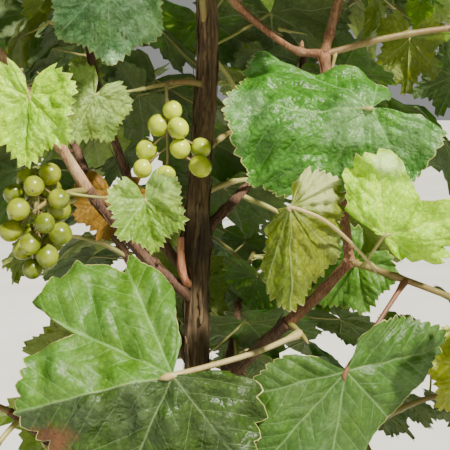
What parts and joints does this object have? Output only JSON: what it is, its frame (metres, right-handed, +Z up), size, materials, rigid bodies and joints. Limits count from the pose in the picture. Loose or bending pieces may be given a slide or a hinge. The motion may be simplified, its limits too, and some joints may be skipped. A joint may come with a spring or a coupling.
{
  "type": "potted grapevine",
  "caption": "Potted grapevine: slim shaggy trunk, arching woody canes, broad lobed toothed leaves and small bunches of green grapes, in a plain round clay pot filled with soil.",
  "frame": {"origin": "centre of the pot's flat underside, which stands on the ground", "axes": "+Z up along the pot's axis, +Y away from the side that the picture shows, +X to the right in the picture"},
  "size_m": [0.6669, 0.5152, 1.2067],
  "materials": {
    "clay": "unglazed terracotta, matte",
    "soil": "moist crumbly soil",
    "bark": "dark, dry, stringy bark",
    "cane": "brown, finely ridged cane",
    "foliage": "green leaves with a soft sheen"
  },
  "bodies": {
    "root": {"arm_lower": "cane", "arm_upper": "cane", "bough_back_left": "cane", "bough_back_low": "cane", "bough_back_right": "cane", "bough_low_left": "cane", "bough_low_right": "cane", "cane_across": "cane", "cane_left": "cane", "cane_left_high": "cane", "cane_left_mid": "cane", "cane_right": "cane", "cane_right_high": "cane", "cane_steep": "cane", "foliage_across": "foliage", "foliage_back_left": "foliage", "foliage_back_low": "foliage", "foliage_back_right": "foliage", "foliage_left_bend": "foliage", "foliage_left_high": "foliage", "foliage_left_node": "foliage", "foliage_low_face": "foliage", "foliage_low_front": "foliage", "foliage_low_left": "foliage", "foliage_low_right": "foliage", "foliage_mid_right": "foliage", "foliage_middle": "foliage", "foliage_right_high": "foliage", "foliage_right_top": "foliage", "foliage_steep": "foliage", "foliage_top_back": "foliage", "foliage_top_left": "foliage", "foliage_top_middle": "foliage", "foliage_top_right": "foliage", "pot": "clay", "soil": "soil", "top_back": "cane", "top_left": "cane", "top_right": "cane", "trunk": "bark"}
  },
  "joints": []
}
